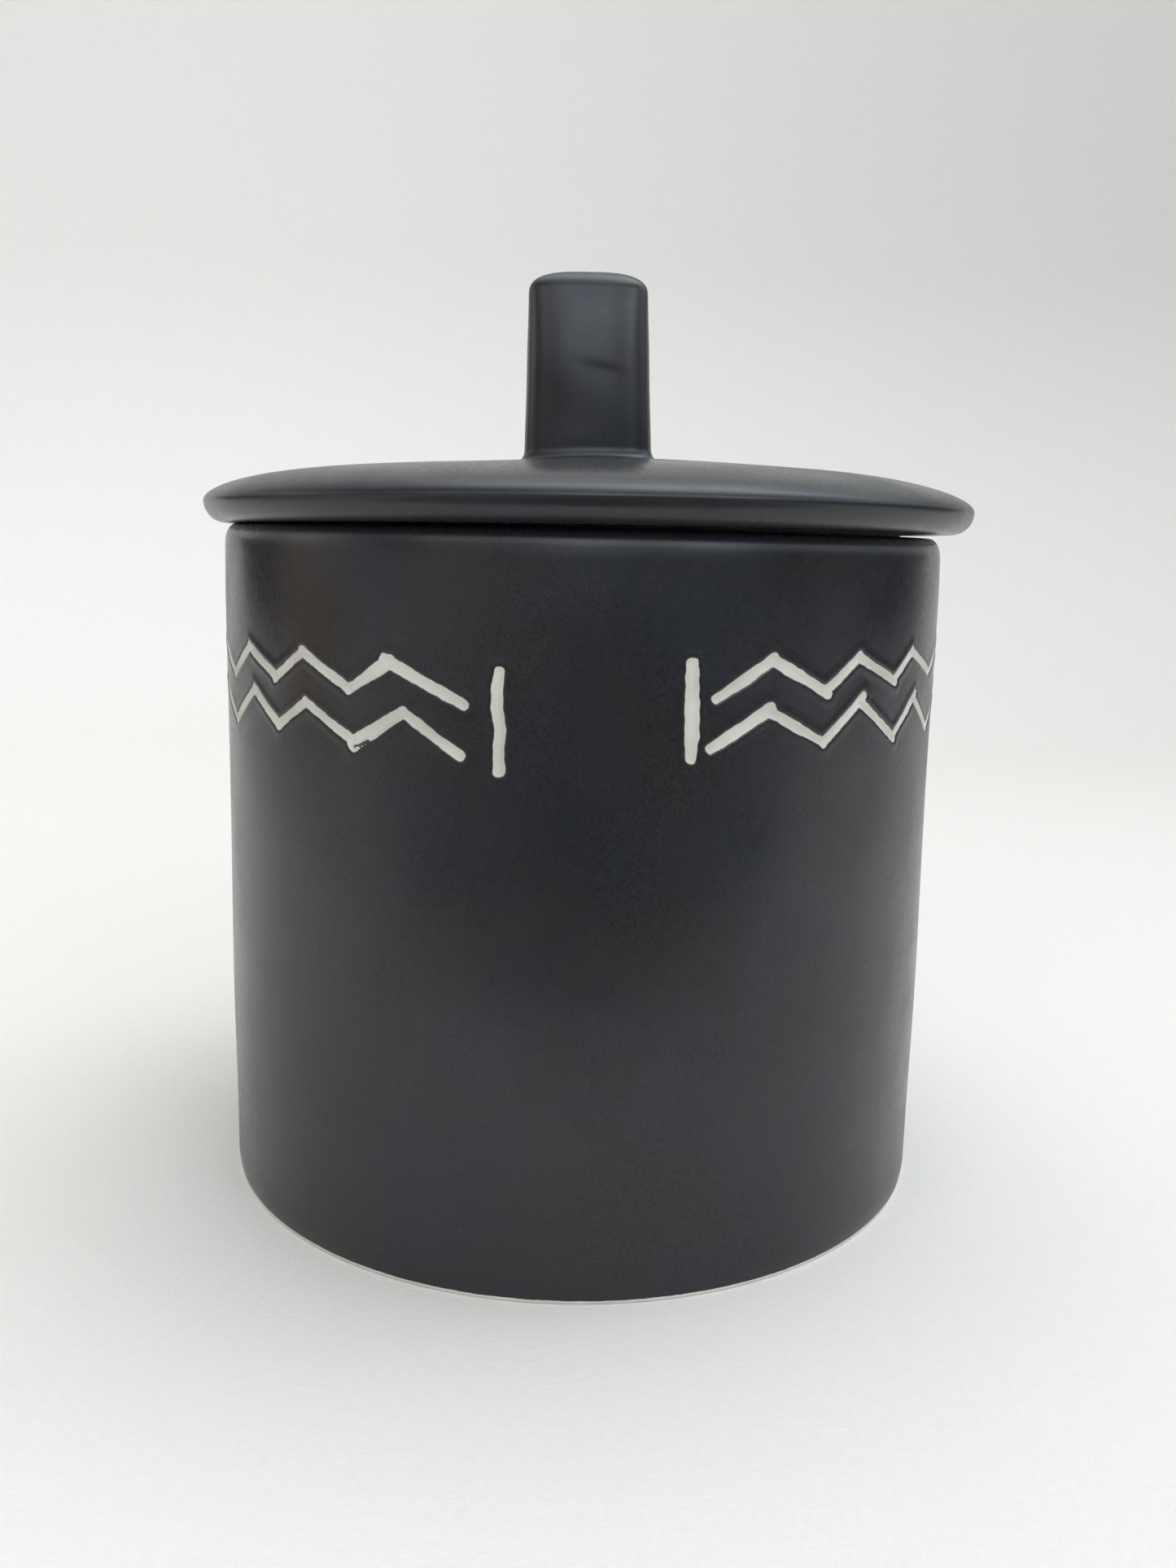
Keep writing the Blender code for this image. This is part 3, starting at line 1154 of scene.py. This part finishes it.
    def dress_knob(self, piece: bpy.types.Object) -> None:
        """Glaze the knob."""
        settle(piece, SatinGlaze(name="knob_glaze"), Body.LID, "lid_knob")


@dataclass(frozen=True)
class Glow(Finish):
    """An even glow, as strong as the attribute glow, with no surface of its own."""

    name: str = "glow"
    tint: Colour = (1.0, 1.0, 1.0)

    def fill(self, bench: Bench) -> None:
        """A black surface with an emission."""
        colour = bench.mix(bench.attribute("glow"), (0.0, 0.0, 0.0), self.tint)
        inputs = {"Base Color": (0.0, 0.0, 0.0, 1.0), "Specular IOR Level": 0.0}
        inputs.update({"Emission Color": colour, "Emission Strength": 1.0})
        shader = bench.node("ShaderNodeBsdfPrincipled", inputs=inputs)
        bench.node("ShaderNodeOutputMaterial", inputs={"Surface": shader.outputs[0]})


@dataclass
class DimRoom:
    """What the glaze mirrors beyond the paper, painted as glowing cards: a low dim ring round the stage, a wooden
    edge on the left, and a dim patch in front of it that paints the shade on the floor there.

    Only glossy reflections see these cards. Radii, heights and sides are in metres; ring_glow lists the ring's
    glow at evenly spaced azimuths from -ring_turn to ring_turn.
    """

    ring_radius: float = 0.90
    ring_height: float = 0.16
    ring_turn: float = 140.0
    ring_glow: tuple[float, ...] = (0.0, 0.0, 0.50, 0.70, 0.05, 0.0, 0.0, 0.0, 0.04)
    front_edge: float = 0.145
    front_far: float = 0.70
    front_half_width: float = 0.34
    front_glow: tuple[float, ...] = (0.08, 0.28, 0.13, 0.25, 0.0)
    wood_turn: Pair = (-97.0, -73.0)
    wood_radius: float = 0.45
    wood_height: float = 0.12
    wood_tint: Colour = (0.52, 0.34, 0.21)

    def hang(self, name: str, points: np.ndarray, glow: np.ndarray, tint: Colour) -> None:
        """Make a card of two rows of points, give it its glow and hide it from all but glossy rays.

        Args:
            name: The card's name.
            points: Both rows of points, of shape (2, n, 3).
            glow: Glow of each column, of shape (n,).
            tint: Colour of the glow.
        """
        count = points.shape[1]
        low = np.arange(count - 1)
        faces = np.stack([low, low + 1, low + 1 + count, low + count], axis=1)
        card = make_piece(name, points.reshape(-1, 3), [faces])
        store(card, "glow", np.tile(glow, 2))
        card.data.materials.append(Glow(name=name, tint=tint).material())
        card.visible_camera = False
        card.visible_diffuse = False
        card.visible_shadow = False

    def stand(
        self, name: str, turn: Pair, radius: float, height: float, glow: tuple[float, ...], tint: Colour
    ) -> None:
        """Stand up a card bent round the middle, whose glow runs evenly through a list from end to end.

        Args:
            name: The card's name.
            turn: Its first and last azimuth, in degrees.
            radius: Its distance from the middle.
            height: Its height.
            glow: Its glow, at even steps.
            tint: Colour of the glow.
        """
        share = np.linspace(0.0, 1.0, 57)
        angle = np.radians(turn[0] + (turn[1] - turn[0]) * share)
        row = radius * np.stack([np.sin(angle), -np.cos(angle), 0.0 * angle], axis=1)
        rows = np.stack([row, row + [0.0, 0.0, height]])
        self.hang(name, rows, np.interp(share, np.linspace(0.0, 1.0, len(glow)), glow), tint)

    def build(self) -> None:
        """Stand up the ring and the wooden edge on the left, and lay on the paper the patch that paints the
        floor's shade into reflections.
        """
        white = (1.0, 1.0, 1.0)
        ring = (-self.ring_turn, self.ring_turn)
        self.stand("dim_ring", ring, self.ring_radius, self.ring_height, self.ring_glow, white)
        self.stand("wood_edge", self.wood_turn, self.wood_radius, self.wood_height, (1.0, 1.0), self.wood_tint)
        # The patch paints the shade that falls on the floor in front into the glaze's reflections; the paper
        # itself is not darkened.
        across = np.linspace(-self.front_half_width, self.front_half_width, 29)
        glow = np.interp(across, np.linspace(across[0], across[-1], len(self.front_glow)), self.front_glow)
        flat = 0.0 * across
        edges = (self.front_far, self.front_edge)
        rows = [np.stack([across, flat - far, flat + 0.002], axis=1) for far in edges]
        self.hang("painted_floor_shade", np.stack(rows), glow, white)


@dataclass(frozen=True)
class Lobe:
    """A soft patch of light from far off.

    Its radiance is its colour times cos^sharpness of the angle off its middle, whose azimuth and elevation are
    in degrees.
    """

    azimuth: float
    elevation: float
    sharpness: float
    colour: Colour

    def direction(self) -> Colour:
        """Unit vector towards the lobe's middle."""
        turn, rise = math.radians(self.azimuth), math.radians(self.elevation)
        return (math.sin(turn) * math.cos(rise), -math.cos(turn) * math.cos(rise), math.sin(rise))


@dataclass
class Sky:
    """The room's light as a sum of soft lobes: a ceiling, and daylight from in front and from the right."""

    lobes: tuple[Lobe, ...] = (
        Lobe(0, 90, 8, (1.31, 1.33, 1.30)),
        Lobe(0, 56, 30, (0.80, 0.86, 0.96)),
        Lobe(80, 72, 24, (1.70, 1.70, 1.70)),
        Lobe(-40, 28, 24, (1.61, 1.61, 1.62)),
        Lobe(0, 28, 24, (2.50, 2.68, 3.00)),
        Lobe(40, 28, 24, (2.70, 2.88, 3.20)),
        Lobe(80, 28, 24, (0.89, 0.94, 1.02)),
        Lobe(130, 45, 8, (1.98, 2.22, 2.58)),
        Lobe(180, 45, 8, (1.14, 1.28, 1.50)),
        Lobe(230, 45, 8, (0.54, 0.57, 0.58)),
        Lobe(90, 14, 20, (0.34, 0.35, 0.38)),
        Lobe(270, 14, 20, (1.45, 1.45, 1.44)),
    )

    def build(self) -> None:
        """Make the world whose background is the sum of the lobes."""
        world = bpy.data.worlds.new("room")
        world.use_nodes = True
        bench = Bench(world.node_tree)
        direction = bench.node("ShaderNodeTexCoord").outputs["Generated"]
        total = (0.0, 0.0, 0.0)
        for lobe in self.lobes:
            cosine = Signal(bench, bench.vector("DOT_PRODUCT", {0: direction, 1: lobe.direction()}, "Value"))
            part = bench.vector("SCALE", {0: lobe.colour, "Scale": cosine**lobe.sharpness})
            total = bench.vector("ADD", {0: total, 1: part})
        bench.tree.links.new(total, bench.tree.nodes["Background"].inputs["Color"])
        bpy.context.scene.world = world


@dataclass
class Studio:
    """The stage: a sweep of pale paper, soft light and the camera."""

    focal_share: float = 1614.0 / 1927.0
    distance: float = 0.18475
    eye_height: float = 0.08517
    tilt_deg: float = 10.26
    roll_deg: float = 1.18
    turn_deg: float = 0.41
    sweep_front: float = -1.6
    sweep_back: float = 0.62
    sweep_radius: float = 0.25
    sweep_height: float = 1.5
    sweep_half_width: float = 1.4

    def set_camera(self) -> None:
        """Place the camera level with the rim, looking a little down, with the focal length of a phone."""
        data = bpy.data.cameras.new("camera")
        data.sensor_width = 36.0
        data.lens = self.focal_share * data.sensor_width
        data.clip_start = 0.01
        camera = bpy.data.objects.new("camera", data)
        turn = Matrix.Rotation(-math.radians(self.turn_deg), 4, "Z")
        tilt = Matrix.Rotation(math.radians(90.0 - self.tilt_deg), 4, "X")
        roll = Matrix.Rotation(math.radians(self.roll_deg), 4, "Z")
        place = Matrix.Translation((0.0, -self.distance, self.eye_height))
        camera.matrix_world = place @ turn @ tilt @ roll
        bpy.context.scene.collection.objects.link(camera)
        bpy.context.scene.camera = camera

    def lay_paper(self) -> None:
        """Lay the paper: flat in front, then a quarter turn up into an upright back."""
        centre = (self.sweep_back - self.sweep_radius, self.sweep_radius)
        bend = arc(centre, (self.sweep_radius,) * 2, (-90, 0), 25)
        profile = np.concatenate([
            line((self.sweep_front, 0.0), (self.sweep_back - self.sweep_radius, 0.0), 12)[:-1],
            bend,
            line((self.sweep_back, self.sweep_radius), (self.sweep_back, self.sweep_height), 8)[1:],
        ])
        across = np.linspace(-self.sweep_half_width, self.sweep_half_width, 3)
        grid = np.stack([
            np.broadcast_to(across, (len(profile), 3)),
            np.broadcast_to(profile[:, 0:1], (len(profile), 3)),
            np.broadcast_to(profile[:, 1:2], (len(profile), 3)),
        ], axis=2).reshape(-1, 3)
        numbers = np.arange(len(grid)).reshape(-1, 3)
        corners = (numbers[:-1, :-1], numbers[:-1, 1:], numbers[1:, 1:], numbers[1:, :-1])
        faces = np.stack([corner.ravel() for corner in corners], axis=1)
        paper = make_piece("paper_sweep", grid, [faces])
        paper.data.materials.append(Paper().material())

    def add_lamp(self, name: str, place: Colour, aim: Colour, size: float, power: float, tint: Colour) -> None:
        """Hang a square soft lamp.

        Args:
            name: The lamp's name.
            place: Where it hangs.
            aim: The point that it faces.
            size: Length of its side.
            power: Its power in watts.
            tint: Its colour.
        """
        data = bpy.data.lights.new(name, "AREA")
        data.size = size
        data.energy = power
        data.color = tint
        lamp = bpy.data.objects.new(name, data)
        away = Matrix.Translation(place).to_translation() - Matrix.Translation(aim).to_translation()
        lamp.matrix_world = Matrix.Translation(place) @ away.to_track_quat("Z", "Y").to_matrix().to_4x4()
        bpy.context.scene.collection.objects.link(lamp)

    def set_up(self) -> None:
        """Set up camera, paper, lamps and room light."""
        self.set_camera()
        self.lay_paper()
        DimRoom().build()
        middle = (0.0, 0.0, 0.05)
        self.add_lamp("lamp_right", (0.45, 0.30, 0.80), middle, 0.6, 0.55, (0.78, 0.96, 1.0))
        self.add_lamp("lamp_back", (0.0, 0.25, 0.85), middle, 0.6, 0.85, (0.90, 0.97, 1.0))
        Sky().build()
        bpy.context.scene.view_settings.view_transform = "Standard"


def main() -> None:
    """Build the stage and the pieces."""
    logging.basicConfig(level=logging.INFO, format="%(name)s: %(message)s")
    Studio().set_up()
    bowl = Bowl()
    bowl.dress(bowl.build())
    lid = Lid()
    lid.dress_disc(lid.build_disc())
    lid.dress_ring(lid.build_ring())
    lid.dress_knob(lid.build_knob())


if __name__ == "__main__":
    main()
